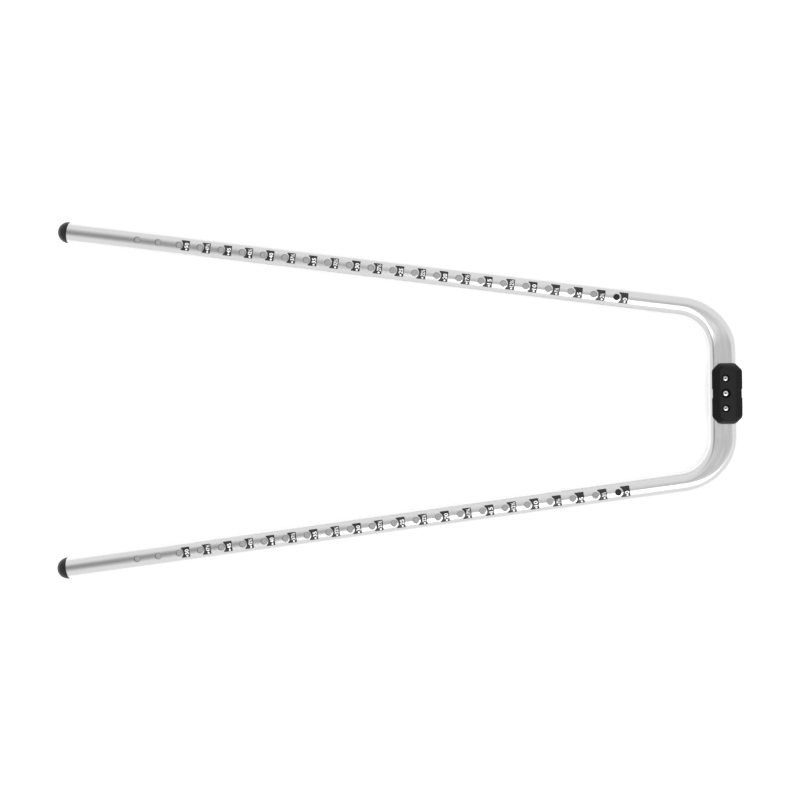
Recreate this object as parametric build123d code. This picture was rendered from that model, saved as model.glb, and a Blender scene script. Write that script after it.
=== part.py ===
from build123d import *
import os
from math import cos, pi, radians, sin, tan

# A windsurf boom tail: one bent tube whose round arms slide into the boom's body, a crossbar pressed
# flat, and a moulded fitting clamped to the crossbar that holds two outhaul sheaves.
# Millimetres. X runs from the arms' tips to the crossbar, Y across, with +Y the left arm, and Z up.
# The origin is under the middle of the whole part, on the plane that its lowest face touches.

# Tube
TUBE_R = 12.7  # round arms, 25.4 mm tube
TUBE_WALL = 1.6
FLARE = 8.0  # degrees between each arm and the centre line
BEND_R = 50.8  # centreline radius of both bends, two tube diameters
CORNER_Y = 90.9  # where an arm's axis crosses the crossbar's axis, from the centre line
LAST_HOLE = 115.0  # from that corner to the arm's hole nearest it
PRESSED_HALF_WIDTH = 15.7  # the crossbar, pressed from round to a flat oval of the same girth
FLAT_ANGLE = 85.0  # degrees round the oval's end arcs to where its flats begin
BEND_SECTIONS = 11

# Setting holes, drilled through the upper wall only
HOLE_R = 3.25
HOLE_PITCH = 25.0
HOLE_COUNT = 23
FIRST_HOLE = 86.0  # from an arm's cut end

# Screws through the fitting and the crossbar
SCREW_LINE = 1.5  # outboard of the tube's axis
SCREW_PITCH = 16.2
SCREW_R = 2.0
SCREW_HOLE_R = 2.1
HEAD_R = 3.2
HEAD_H = 2.3
HEAD_SEAT_Z = 13.3  # heights with _Z are from the tube's axis
SCREW_LENGTH = 35.0
RECESS_DEPTH = 1.3
RECESS_LENGTH = 3.2
RECESS_WIDTH = 0.8
COUNTERBORE_R = {"left": 4.0, "centre": 5.0, "right": 4.0}
NUT_FLATS = 7.0
NUT_H = 3.2
NUT_POCKET_H = 3.6

# Fitting
FITTING_LENGTH = 66.0  # across the part, along the crossbar
FITTING_OUTER = 19.5  # its outboard face, from the tube's axis: it reaches past the tube to guard it
SADDLE_INNER = -12.5  # the saddle's face towards the tips
HOUSING_INNER = -9.8  # the lower half's, which stays under the tube
FITTING_CORNER = 7.4  # cut off each corner of its plan
FITTING_CORNER_R = 5.2  # rounding where that cut meets the sides
PAD_THICKNESS = 0.8
PAD_HALF_WIDTH = 7.5
SADDLE_TOP_Z = 18.5
LEDGE_Z = 12.6
HOUSING_BOTTOM_Z = -22.4
NOTCH_LENGTH = 10.0
NOTCH_DEPTH = 0.8

# Sheaves
SHEAVE_R = 10.8
SHEAVE_THICKNESS = 5.6
GROOVE_DEPTH = 3.8
GROOVE_R = 2.2
SHEAVE_BORE_R = 3.06
SLEEVE_R = 3.0
POCKET_R = 11.6
POCKET_TOP_Z = -10.4
POCKET_H = 6.6
WASHER_THICKNESS = 0.4
WASHER_R = 5.4
DRAIN_HOLES = 5
DRAIN_HOLE_R = 0.9

# Plugs and bungs
PLUG_DOME_R = 12.5
PLUG_COLLAR = 2.0
SPIGOT_LENGTH = 24.0
SPIGOT_R = 10.3
SPIGOT_WALL = 2.0
RIB_GAP = 0.06  # a rib or bung stops this short of the tube's bore
BUNG_LENGTH = 40.0
BUNG_LEAD = 10.0  # how far a bung reaches past the last hole, towards the tip
CRUSH_SLEEVE_R = 3.5

SIDES = {"left": 1, "right": -1}
SCREWS = {"left": SCREW_PITCH, "centre": 0.0, "right": -SCREW_PITCH}
ARM_LENGTH = LAST_HOLE + (HOLE_COUNT - 1) * HOLE_PITCH + FIRST_HOLE  # from a corner to the cut end
PLUG_END = ARM_LENGTH + PLUG_COLLAR  # the dome's centre, from the corner
REAR = PLUG_END * cos(radians(FLARE)) + PLUG_DOME_R
TUBE_X = (REAR - FITTING_OUTER) / 2  # the crossbar's axis
TUBE_Z = -HOUSING_BOTTOM_Z  # the tube's axis above the origin
SCREW_X = TUBE_X + SCREW_LINE
BORE_R = TUBE_R - TUBE_WALL
POCKET_BOTTOM_Z = POCKET_TOP_Z - POCKET_H
SHEAVE_Z = POCKET_TOP_Z - POCKET_H / 2


def arm_plane(distance, side):
    """A plane across an arm, at a distance from the corner, facing the tip with its Y up."""
    along = Vector(-cos(radians(FLARE)), side * sin(radians(FLARE)), 0)
    origin = Vector(TUBE_X, side * CORNER_Y, TUBE_Z) + along * distance
    return Plane(origin, x_dir=along.cross(Vector(0, 0, -1)), z_dir=along)


def oval(half_width, grow=0.0):
    """The tube's outline where it is pressed to half_width, with its girth kept, grown all round."""
    turn = radians(FLAT_ANGLE)
    rest = pi / 2 - turn
    quarter = TUBE_R * pi / 2
    share = (1 - cos(turn)) * rest - cos(turn) * turn
    end_r = (half_width * rest - quarter * cos(turn)) / share
    flat_r = ((1 - cos(turn)) * quarter - half_width * turn) / share
    centre_x = half_width - end_r
    height = end_r * sin(turn) + flat_r * (1 - sin(turn)) + grow
    x = centre_x + (end_r + grow) * cos(turn)
    y = (end_r + grow) * sin(turn)
    wide = centre_x + end_r + grow
    outline = [
        ThreePointArc((x, -y), (wide, 0), (x, y)),
        ThreePointArc((x, y), (0, height), (-x, y)),
        ThreePointArc((-x, y), (-wide, 0), (-x, -y)),
        ThreePointArc((-x, -y), (0, -height), (x, -y)),
    ]
    return Face(Wire(outline))


def bend_plane(angle):
    """A plane across the left bend, at an angle from the crossbar's end, with its Y up."""
    centre = Vector(TUBE_X - BEND_R, CORNER_Y - tangent_length(), TUBE_Z)
    outward = Vector(cos(radians(angle)), sin(radians(angle)), 0)
    travel = Vector(sin(radians(angle)), -cos(radians(angle)), 0)
    return Plane(centre + outward * BEND_R, x_dir=outward, z_dir=travel)


def tangent_length():
    """From a corner to where its bend starts."""
    return BEND_R * tan(radians(90 - FLARE) / 2)


def left_bend(grow):
    """The left bend, which eases from the round arm to the pressed crossbar."""
    sections = []
    for step in range(BEND_SECTIONS):
        share = step / (BEND_SECTIONS - 1)
        ease = share * share * (3 - 2 * share)
        half_width = TUBE_R + (PRESSED_HALF_WIDTH - TUBE_R) * ease
        sections.append(bend_plane((90 - FLARE) * (1 - share)) * oval(half_width, grow))
    return loft(sections)


def crossbar(grow, length):
    """The straight pressed run, about the centre line."""
    plane = Plane((TUBE_X, length / 2, TUBE_Z), x_dir=(1, 0, 0), z_dir=(0, -1, 0))
    return extrude(plane * oval(PRESSED_HALF_WIDTH, grow), length)


def tube_form(grow, past_end):
    """The whole bent tube as a solid bar, its outline grown all round."""
    bend = left_bend(grow)
    form = crossbar(grow, 2 * (CORNER_Y - tangent_length())) + bend + mirror(bend, Plane.XZ)
    for side in SIDES.values():
        start = arm_plane(tangent_length(), side)
        form += extrude(start * oval(TUBE_R, grow), ARM_LENGTH + past_end - tangent_length())
    return form


def upright(radius, x, y, low_z, high_z):
    """A vertical cylinder between two heights above the tube's axis."""
    middle = TUBE_Z + (low_z + high_z) / 2
    return Pos(x, y, middle) * Cylinder(radius, high_z - low_z)


def screw_bores(radius):
    """The three screws' bores, right through the fitting."""
    bores = [upright(radius, SCREW_X, y, -40, 40) for y in SCREWS.values()]
    return Part() + bores


def tail_tube():
    holes = [
        upright(HOLE_R, plane.origin.X, plane.origin.Y, 0, TUBE_R + 2)
        for side in SIDES.values()
        for plane in (arm_plane(hole_distance(i), side) for i in range(HOLE_COUNT))
    ]
    return tube_form(0, 0) - tube_form(-TUBE_WALL, 2) - (Part() + holes) - screw_bores(SCREW_HOLE_R)


def hole_distance(index):
    """From the corner to a setting hole, counted from the tip."""
    return ARM_LENGTH - FIRST_HOLE - index * HOLE_PITCH


def end_plug(side):
    """A domed plug with a hollow, ribbed spigot."""
    dome = Sphere(PLUG_DOME_R) & Pos(0, 0, PLUG_DOME_R / 2) * Box(30, 30, PLUG_DOME_R)
    collar = Pos(0, 0, -PLUG_COLLAR / 2) * Cylinder(PLUG_DOME_R, PLUG_COLLAR)
    spigot = Pos(0, 0, -PLUG_COLLAR - SPIGOT_LENGTH / 2) * Cylinder(SPIGOT_R, SPIGOT_LENGTH)
    plug = dome + collar + spigot
    for depth in (6, 12, 18):
        rib = Cone(SPIGOT_R, BORE_R - RIB_GAP, 2.4)
        plug += Pos(0, 0, -PLUG_COLLAR - depth) * rib
    core = Pos(0, 0, -PLUG_COLLAR - SPIGOT_LENGTH / 2) * Cylinder(SPIGOT_R - SPIGOT_WALL, SPIGOT_LENGTH)
    return arm_plane(PLUG_END, side) * (plug - core)


def foam_bung(side):
    start = arm_plane(hole_distance(HOLE_COUNT - 1) + BUNG_LEAD - BUNG_LENGTH, side)
    return extrude(start * Circle(BORE_R - RIB_GAP), BUNG_LENGTH)


def fitting_form(profile, ends, inner):
    """A moulding from its outline along the part, its outline across it and its plan."""
    width = FITTING_OUTER - inner
    middle = (FITTING_OUTER + inner) / 2
    across = extrude(Plane.XZ * make_face(Polyline(profile, close=True)), FITTING_LENGTH, both=True)
    along = extrude(Plane.YZ * make_face(Polyline(ends, close=True)), 50, both=True)
    cut_corners = chamfer(Rectangle(width, FITTING_LENGTH).vertices(), FITTING_CORNER)
    plan = extrude(fillet(cut_corners.vertices(), FITTING_CORNER_R), 50, both=True)
    notches = [Pos(x, 0, 0) * Box(2 * NOTCH_DEPTH, NOTCH_LENGTH, 80) for x in (inner, FITTING_OUTER)]
    return Pos(TUBE_X, 0, TUBE_Z) * ((across & along & Pos(middle, 0, 0) * plan) - (Part() + notches))


def saddle_seat():
    """The crossbar and its pads, as the space that the mouldings close round."""
    return crossbar(PAD_THICKNESS, FITTING_LENGTH + 10)


def top_saddle():
    inner, outer, top = SADDLE_INNER, FITTING_OUTER, SADDLE_TOP_Z
    middle = (inner + outer) / 2
    profile = [
        (inner + 4.0, 5.0),
        (inner + 2.6, 6.6),
        (inner, 9.6),
        (inner, LEDGE_Z),
        (inner + 2.8, LEDGE_Z + 1.6),
        (middle - 7.6, top),
        (middle + 7.6, top),
        (outer - 2.8, LEDGE_Z + 1.6),
        (outer, LEDGE_Z),
        (outer, 3.0),
        (middle, 3.0),
    ]
    end = FITTING_LENGTH / 2
    ends = [(-end, 0), (-end, 11.0), (-end + 5, top), (end - 5, top), (end, 11.0), (end, 0)]
    saddle = fitting_form(profile, ends, inner) - saddle_seat() - screw_bores(SCREW_HOLE_R)
    for name, y in SCREWS.items():
        saddle -= upright(COUNTERBORE_R[name], SCREW_X, y, HEAD_SEAT_Z, 40)
    return saddle


def sheave_pocket(y):
    """Room for one sheave, open on the side that faces the tips."""
    back = upright(POCKET_R, SCREW_X, y, POCKET_BOTTOM_Z, POCKET_TOP_Z)
    mouth = Pos(SCREW_X - 15, y, TUBE_Z + SHEAVE_Z) * Box(30, 2 * POCKET_R, POCKET_H)
    return back + mouth


def sheave_housing():
    inner, outer, low = HOUSING_INNER, FITTING_OUTER, HOUSING_BOTTOM_Z
    middle = (inner + outer) / 2
    profile = [
        (middle, -3.0),
        (outer, -3.0),
        (outer, low + 3.5),
        (outer - 3.5, low),
        (inner + 3.0, low),
        (inner, low + 3.5),
        (inner, -6.0),
    ]
    end = FITTING_LENGTH / 2
    ends = [(-end, 0), (-end, low + 3.5), (-end + 3.5, low), (end - 3.5, low), (end, low + 3.5), (end, 0)]
    housing = fitting_form(profile, ends, inner) - saddle_seat() - screw_bores(SCREW_HOLE_R)
    for name in SIDES:
        housing -= sheave_pocket(SCREWS[name])
    for y in SCREWS.values():
        pocket = extrude(RegularPolygon(NUT_FLATS / 2 + 0.1, 6, major_radius=False), NUT_POCKET_H)
        housing -= Pos(SCREW_X, y, 0) * pocket
    return housing


def pad(side):
    """The rubber strip over the crossbar's flat, above it (1) or below it (-1)."""
    strip = crossbar(PAD_THICKNESS, FITTING_LENGTH - 8) - crossbar(0, FITTING_LENGTH)
    keep = Pos(TUBE_X, 0, TUBE_Z + side * 10) * Box(2 * PAD_HALF_WIDTH, FITTING_LENGTH, 20)
    return (strip & keep) - screw_bores(SCREW_HOLE_R + 0.1)


def screw(y):
    """A pan head screw, its thread left plain, with a cross recess."""
    shank = upright(SCREW_R, SCREW_X, y, HEAD_SEAT_Z - SCREW_LENGTH, HEAD_SEAT_Z + 0.5)
    head = upright(HEAD_R, SCREW_X, y, HEAD_SEAT_Z, HEAD_SEAT_Z + HEAD_H)
    head = fillet(head.edges().group_by(Axis.Z)[-1], HEAD_H * 0.7)
    top = TUBE_Z + HEAD_SEAT_Z + HEAD_H
    for size in ((RECESS_LENGTH, RECESS_WIDTH), (RECESS_WIDTH, RECESS_LENGTH)):
        head -= Pos(SCREW_X, y, top) * Rot(0, 0, 45) * Box(*size, 2 * RECESS_DEPTH)
    return shank + head


def lock_nut(y):
    blank = extrude(RegularPolygon(NUT_FLATS / 2, 6, major_radius=False), NUT_H)
    crown = Pos(0, 0, NUT_H / 2) * Cylinder(NUT_FLATS / 2 + 0.35, NUT_H)
    crown = chamfer(crown.edges().group_by(Axis.Z)[0], 0.6)
    bore = Pos(0, 0, NUT_H / 2) * Cylinder(SCREW_R + 0.05, NUT_H + 1)
    return Pos(SCREW_X, y, NUT_POCKET_H - NUT_H) * ((blank & crown) - bore)


def ring(outer, inner, y, low_z, high_z):
    """A washer or sleeve round a screw."""
    return upright(outer, SCREW_X, y, low_z, high_z) - upright(inner, SCREW_X, y, low_z - 1, high_z + 1)


def crush_sleeve(y):
    """A spacer inside the crossbar, its ends shaped to the tube's inner faces."""
    bore = crossbar(-TUBE_WALL - 0.03, FITTING_LENGTH)
    return ring(CRUSH_SLEEVE_R, SCREW_HOLE_R, y, -10, 10) & bore


def sheave(y):
    """A grooved wheel with a ring of drain holes."""
    half = SHEAVE_THICKNESS / 2
    root = SHEAVE_R - GROOVE_DEPTH
    outline = Polyline(
        (root + GROOVE_R, GROOVE_R),
        (SHEAVE_R, half - 0.25),
        (SHEAVE_R - 0.25, half),
        (SHEAVE_BORE_R, half),
        (SHEAVE_BORE_R, -half),
        (SHEAVE_R - 0.25, -half),
        (SHEAVE_R, -half + 0.25),
        (root + GROOVE_R, -GROOVE_R),
    )
    groove = ThreePointArc((root + GROOVE_R, -GROOVE_R), (root, 0), (root + GROOVE_R, GROOVE_R))
    wheel = revolve(Plane.XZ * make_face([*outline.edges(), groove]), Axis.Z)
    across = (SHEAVE_BORE_R + root) / 2
    for place in PolarLocations(across, DRAIN_HOLES):
        wheel -= place * Cylinder(DRAIN_HOLE_R, SHEAVE_THICKNESS + 1)
    return Pos(SCREW_X, y, TUBE_Z + SHEAVE_Z) * wheel


def parts():
    """Every sub-part, by the name of its node."""
    made = {
        "tail_tube": tail_tube(),
        "top_saddle": top_saddle(),
        "sheave_housing": sheave_housing(),
        "top_pad": pad(1),
        "bottom_pad": pad(-1),
    }
    for name, side in SIDES.items():
        y = SCREWS[name]
        low, high = POCKET_BOTTOM_Z, POCKET_TOP_Z
        made[f"end_plug_{name}"] = end_plug(side)
        made[f"foam_bung_{name}"] = foam_bung(side)
        made[f"sheave_{name}"] = sheave(y)
        made[f"axle_sleeve_{name}"] = ring(SLEEVE_R, SCREW_HOLE_R, y, low, high)
        made[f"upper_washer_{name}"] = ring(WASHER_R, SLEEVE_R + 0.05, y, high - WASHER_THICKNESS, high)
        made[f"lower_washer_{name}"] = ring(WASHER_R, SLEEVE_R + 0.05, y, low, low + WASHER_THICKNESS)
    for name, y in SCREWS.items():
        made[f"screw_{name}"] = screw(y)
        made[f"crush_sleeve_{name}"] = crush_sleeve(y)
        made[f"lock_nut_{name}"] = lock_nut(y)
    return made


os.makedirs("parts", exist_ok=True)
for node, solid in parts().items():
    export_step(solid, f"parts/{node}.step")
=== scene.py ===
from math import asin, atan2, copysign, cos, pi, radians, sin, sqrt, tan

import bmesh
import bpy
from bpy.props import FloatProperty, FloatVectorProperty, IntProperty, PointerProperty
from mathutils import Matrix, Vector


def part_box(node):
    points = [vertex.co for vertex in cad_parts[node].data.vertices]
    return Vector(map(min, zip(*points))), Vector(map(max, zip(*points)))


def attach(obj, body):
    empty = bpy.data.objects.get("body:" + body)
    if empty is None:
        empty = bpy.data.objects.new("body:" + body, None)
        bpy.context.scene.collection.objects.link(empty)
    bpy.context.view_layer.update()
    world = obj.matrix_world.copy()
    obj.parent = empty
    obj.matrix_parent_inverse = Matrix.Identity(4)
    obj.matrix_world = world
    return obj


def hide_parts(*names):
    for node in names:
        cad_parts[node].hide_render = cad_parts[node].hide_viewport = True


bl_info = {
    "name": "Boom tail",
    "version": (1, 0, 0),
    "blender": (4, 5, 0),
    "location": "View3D > Sidebar > Boom tail",
    "description": "Models the tube, scale, plugs and sheave fitting of a sailboard's boom tail",
    "category": "Object",
}

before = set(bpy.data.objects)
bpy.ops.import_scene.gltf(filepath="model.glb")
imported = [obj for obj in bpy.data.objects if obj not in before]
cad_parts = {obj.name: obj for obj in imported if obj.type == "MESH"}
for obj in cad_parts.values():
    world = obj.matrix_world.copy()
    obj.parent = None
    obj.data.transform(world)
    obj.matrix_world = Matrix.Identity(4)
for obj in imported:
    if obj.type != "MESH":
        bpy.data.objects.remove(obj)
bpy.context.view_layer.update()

MM = 0.001
TUBE_R = 12.7 * MM
TUBE_WALL = 1.6 * MM
PRESSED_HALF_WIDTH = 15.7 * MM  # the crossbar's flat oval
FLAT_ANGLE = radians(85)  # round the oval's end arcs, to where its flats begin
FLARE = radians(8)  # between each arm and the centre line
BEND_R = 50.8 * MM
CORNER_Y = 90.9 * MM  # where an arm's axis would cross the crossbar's
ARM_LENGTH = 751 * MM  # from that corner to the cut end
FIRST_HOLE = 86 * MM  # from the cut end
HOLE_PITCH = 25 * MM
HOLE_COUNT = 23
HOLE_R = 3.25 * MM
FIRST_NUMBER = 50.0  # by the third hole from the tip
NUMBER_STEP = 2.5
UNNUMBERED = 2  # holes at the tip without a number

# The fitting, in millimetres, with heights from the tube's axis.
SCREW_BORE_R = 2.1
PAD_THICKNESS = 0.8
SADDLE_TOP = 18.5
SCREW_SEAT = 13.3
HALF_LENGTH = 33.0
CORNER_CUT = 7.4

tube_low, tube_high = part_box("tail_tube")
screw_low, screw_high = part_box("screw_centre")
AXIS = Vector((tube_high.x - PRESSED_HALF_WIDTH, 0, (tube_low.z + tube_high.z) / 2))
TANGENT = BEND_R * tan((pi / 2 - FLARE) / 2)  # from a corner to where its bend starts
BEND_Y = CORNER_Y - TANGENT
SCREW_X = (screw_low.x + screw_high.x) / 2
SCREW_PITCH = (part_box("screw_left")[0].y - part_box("screw_right")[0].y) / 2
SIDES = {"left": 1, "right": -1}
SCREWS = {"left": SCREW_PITCH, "centre": 0.0, "right": -SCREW_PITCH}

RING_STEPS = 128  # round the tube
LATHE_STEPS = 96
CORNER_STEPS = 4  # round each end of a moulding's cut corner
CORNER_EASE = 0.7  # radius there, as a share of the cut


# ---------------------------------------------------------------- sizes and colours


def linear(code):
    """A hex sRGB colour as Blender's linear red, green, blue and alpha."""
    shares = [int(code[i : i + 2], 16) / 255 for i in (0, 2, 4)]
    return [c / 12.92 if c <= 0.04045 else ((c + 0.055) / 1.055) ** 2.4 for c in shares] + [1.0]


def length(name, description, millimetres):
    """A size that is given in millimetres and kept in metres."""
    kind = {"subtype": "DISTANCE", "unit": "LENGTH"}
    return FloatProperty(name=name, description=description, default=millimetres * MM, **kind)


def colour(name, description, code):
    """A colour that is given as a hex sRGB code and kept linear."""
    kind = {"subtype": "COLOR", "size": 4, "min": 0, "max": 1}
    return FloatVectorProperty(name=name, description=description, default=linear(code), **kind)


class BoomTailSizes(bpy.types.PropertyGroup):
    """Sizes that change how the pieces look without moving them"""

    hole_chamfer: length("Hole chamfer", "Deburred edge of each setting hole", 0.4)
    moulding_edge: length("Moulding edge", "Rounding along the fitting's edges", 0.6)
    patch_length: length("Patch end", "From a hole's middle to the far edge of its patch", 12.6)
    patch_tip: length("Patch tip", "From a hole's middle to the patch's near edge", 2.6)
    patch_half: length("Patch half width", "Half the patch's width, round the tube", 6.1)
    patch_ring: length("Bare ring", "Radius of bare metal kept round each hole", 5.2)
    number_height: length("Number height", "Height of the printed figures, along the tube", 4.5)
    figure_width: length("Figure width", "Width of one printed figure, round the tube", 2.9)
    wheel_holes: IntProperty(name="Wheel holes", description="Drain holes in each sheave", default=5)


class BoomTailColours(bpy.types.PropertyGroup):
    """Colours of the finishes"""

    aluminium: colour("Aluminium", "Clear anodised tube", "D4D4D4")
    nylon: colour("Nylon", "Moulded fitting", "171718")
    vinyl: colour("Vinyl", "Dipped end plugs", "101011")
    acetal: colour("Acetal", "Sheaves", "202021")
    steel: colour("Steel", "Screws, nuts and sleeves", "DEDDDB")
    washer: colour("Washer", "Thrust washers and nut inserts", "E4E1D8")
    rubber: colour("Rubber", "Pads in the clamp", "1E1E1E")
    foam: colour("Foam", "Bungs in the tube", "1A1A1B")
    print_black: colour("Print black", "Printed patches", "151516")
    print_white: colour("Print white", "Printed numbers", "F4F4F2")
    floor: colour("Floor", "Studio floor", "FFFFFF")


# ---------------------------------------------------------------- modelling helpers


def begin(name, primitive, **settings):
    """Adds a primitive at its place and opens it in edit mode, selected all over."""
    bpy.ops.object.select_all(action="DESELECT")
    primitive(**settings)
    bpy.ops.object.transform_apply()
    piece = bpy.context.object
    piece.name = name
    piece.data.name = name
    bpy.ops.object.mode_set(mode="EDIT")
    bpy.ops.mesh.select_mode(type="VERT")
    bpy.ops.mesh.select_all(action="SELECT")
    return piece


def done(piece):
    """Leaves edit mode with doubles merged and faces pointing outwards."""
    bpy.ops.mesh.select_all(action="SELECT")
    bpy.ops.mesh.remove_doubles(threshold=0.001 * MM)
    bpy.ops.mesh.normals_make_consistent(inside=False)
    bpy.ops.object.mode_set(mode="OBJECT")
    return piece


def choose(piece, mode, test):
    """Selects the vertices, edges or faces that pass a test, and nothing else."""
    bpy.ops.mesh.select_mode(type=mode)
    bpy.ops.mesh.select_all(action="DESELECT")
    shape = bmesh.from_edit_mesh(piece.data)
    for part in {"VERT": shape.verts, "EDGE": shape.edges, "FACE": shape.faces}[mode]:
        part.select = test(part)
    shape.select_flush_mode()
    bmesh.update_edit_mesh(piece.data)


def reshape(piece, move, only_selected=False):
    """Gives each vertex of a piece in edit mode the place that move works out from it."""
    shape = bmesh.from_edit_mesh(piece.data)
    for vertex in shape.verts:
        if vertex.select or not only_selected:
            vertex.co = move(vertex.co)
    bmesh.update_edit_mesh(piece.data)


def extrude(step, times=1):
    """Extrudes the selection along a step, several times over."""
    for _ in range(times):
        bpy.ops.mesh.extrude_region_move(TRANSFORM_OT_translate={"value": tuple(step)})


def make_active(piece):
    """Selects one piece and nothing else."""
    bpy.ops.object.select_all(action="DESELECT")
    piece.select_set(True)
    bpy.context.view_layer.objects.active = piece


def apply_modifier(piece, kind, **settings):
    """Adds a modifier and applies it at once."""
    make_active(piece)
    modifier = piece.modifiers.new(kind.lower(), kind)
    for name, value in settings.items():
        setattr(modifier, name, value)
    bpy.ops.object.modifier_apply(modifier=modifier.name)


def combine(piece, tool, operation="DIFFERENCE"):
    """Cuts a tool out of a piece, or keeps only what both share, and removes the tool."""
    apply_modifier(piece, "BOOLEAN", object=tool, operation=operation, solver="EXACT")
    bpy.data.objects.remove(tool)
    return piece


def copy_to(piece, matrix, name):
    """A copy of a piece, with its own mesh, put in place."""
    twin = piece.copy()
    twin.data = piece.data.copy()
    twin.name = name
    twin.data.transform(matrix)
    bpy.context.scene.collection.objects.link(twin)
    return twin


def join(pieces, name):
    """Makes one piece of several."""
    bpy.ops.object.select_all(action="DESELECT")
    for piece in pieces:
        piece.select_set(True)
    bpy.context.view_layer.objects.active = pieces[0]
    bpy.ops.object.join()
    pieces[0].name = name
    return pieces[0]


def lathe(name, profile):
    """Spins an outline, in millimetres of radius and height, about the Z axis."""
    piece = begin(name, bpy.ops.mesh.primitive_plane_add, size=MM)
    bpy.ops.mesh.merge(type="CENTER")
    points = [Vector((radius, 0, height)) * MM for radius, height in profile]
    bpy.ops.transform.translate(value=points[0])
    for here, there in zip(points, points[1:]):
        extrude(there - here)
    bpy.ops.mesh.select_all(action="SELECT")
    bpy.ops.mesh.spin(steps=LATHE_STEPS, angle=2 * pi, center=(0, 0, 0), axis=(0, 0, 1))
    return done(piece)


def arc(middle, radius, start, end, steps=6):
    """Points of an outline's round stretch, between two angles in degrees."""
    turns = [radians(start + (end - start) * i / steps) for i in range(steps + 1)]
    return [(middle[0] + radius * cos(a), middle[1] + radius * sin(a)) for a in turns]


def cylinder(name, radius, x, y, low, high, vertices=LATHE_STEPS):
    """An upright cylinder, for cutting."""
    settings = {"radius": radius, "depth": high - low, "location": (x, y, (low + high) / 2)}
    tool = begin(name, bpy.ops.mesh.primitive_cylinder_add, vertices=vertices, **settings)
    return done(tool)


def hexagon(name, half_flats, height, middle):
    """An upright hexagonal bar, by half its width across the flats."""
    size = {"radius": half_flats / cos(pi / 6), "depth": height}
    place = {"location": middle, "rotation": (0, 0, pi / 6)}
    return done(begin(name, bpy.ops.mesh.primitive_cylinder_add, vertices=6, **size, **place))


def block(name, low, high, edge=0.0):
    """A box, its upright edges rounded."""
    middle, size = (Vector(low) + Vector(high)) / 2, Vector(high) - Vector(low)
    tool = begin(name, bpy.ops.mesh.primitive_cube_add, size=1, location=middle, scale=size)
    if edge:
        choose(tool, "EDGE", lambda e: abs(e.verts[0].co.z - e.verts[1].co.z) > size.z / 2)
        bpy.ops.mesh.bevel(offset=edge, segments=4, affect="EDGES")
    return done(tool)


def cut_outline(low_x, high_x, half_y, corner):
    """Points round a rectangle whose corners are cut off at 45 degrees and eased."""
    ease = CORNER_EASE * corner
    tangent = ease * tan(pi / 8)
    middle_x, half_x = (low_x + high_x) / 2, (high_x - low_x) / 2
    first = arc((half_x - ease, half_y - corner - tangent), ease, 0, 45, CORNER_STEPS)
    second = arc((half_x - corner - tangent, half_y - ease), ease, 45, 90, CORNER_STEPS)
    quarter = first + second
    left = [(-x, y) for x, y in reversed(quarter)]
    upper = quarter + left
    lower = [(x, -y) for x, y in reversed(upper)]
    return [(middle_x + x, y) for x, y in upper + lower]


def stack(name, levels, edge):
    """A moulding raised ring by ring. A level is its low x, high x, half length, corner cut and height
    in millimetres from the tube's axis, and whether its edge is rounded."""
    count = 8 * (CORNER_STEPS + 1)
    piece = begin(name, bpy.ops.mesh.primitive_circle_add, vertices=count, radius=MM, fill_type="NGON")
    places = {}
    for number, (low_x, high_x, half_y, corner, height, _) in enumerate(levels):
        if number:
            extrude((0, 0, MM))
        outline = [
            Vector((AXIS.x + x * MM, y * MM, AXIS.z + height * MM))
            for x, y in cut_outline(low_x, high_x, half_y, corner)
        ]
        shape = bmesh.from_edit_mesh(piece.data)
        ring = [v for v in shape.verts if v.select]
        for index, vertex in enumerate(ring):
            if number:
                under = min(places, key=lambda i: (places[i] - vertex.co).xy.length)
                vertex.co = outline[under]
            else:
                vertex.co = outline[index]
        places = dict(enumerate(outline))
        bmesh.update_edit_mesh(piece.data)
    bpy.ops.mesh.select_all(action="SELECT")
    bpy.ops.mesh.normals_make_consistent(inside=False)
    rounded = [AXIS.z + level[4] * MM for level in levels if level[5]]

    def on_rounded_ring(e):
        heights = [v.co.z for v in e.verts]
        return any(max(abs(z - h) for z in heights) < 0.01 * MM for h in rounded)

    choose(piece, "EDGE", on_rounded_ring)
    bpy.ops.mesh.bevel(offset=edge, segments=3, affect="EDGES")
    return done(piece)


def finish_piece(piece, material, body="tail", nodes=(), angle=30):
    """Gives a finished piece its material, slot and body, and lets it stand for its CAD nodes."""
    make_active(piece)
    bpy.ops.object.shade_smooth_by_angle(angle=radians(angle))
    piece.data.materials.clear()
    piece.data.materials.append(material)
    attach(piece, body)
    if nodes:
        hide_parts(*nodes)


# ---------------------------------------------------------------- the tube's form


def oval_point(half_width, angle, grow=0.0):
    """A point of the tube's outline where it is pressed to half_width with its girth kept: the point at
    angle round the round tube moves to the same length round the oval."""
    rest = pi / 2 - FLAT_ANGLE
    quarter = TUBE_R * pi / 2
    share = (1 - cos(FLAT_ANGLE)) * rest - cos(FLAT_ANGLE) * FLAT_ANGLE
    end_r = (half_width * rest - quarter * cos(FLAT_ANGLE)) / share
    flat_r = ((1 - cos(FLAT_ANGLE)) * quarter - half_width * FLAT_ANGLE) / share
    centre = half_width - end_r
    flat_low = (end_r - flat_r) * sin(FLAT_ANGLE)
    along = TUBE_R * asin(min(1.0, abs(sin(angle))))
    if along <= end_r * FLAT_ANGLE:
        turn = along / end_r
        x, y = centre + (end_r + grow) * cos(turn), (end_r + grow) * sin(turn)
    else:
        turn = FLAT_ANGLE + (along - end_r * FLAT_ANGLE) / flat_r
        x, y = (flat_r + grow) * cos(turn), flat_low + (flat_r + grow) * sin(turn)
    return x * (1 if cos(angle) >= 0 else -1), y * (1 if sin(angle) >= 0 else -1)


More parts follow.
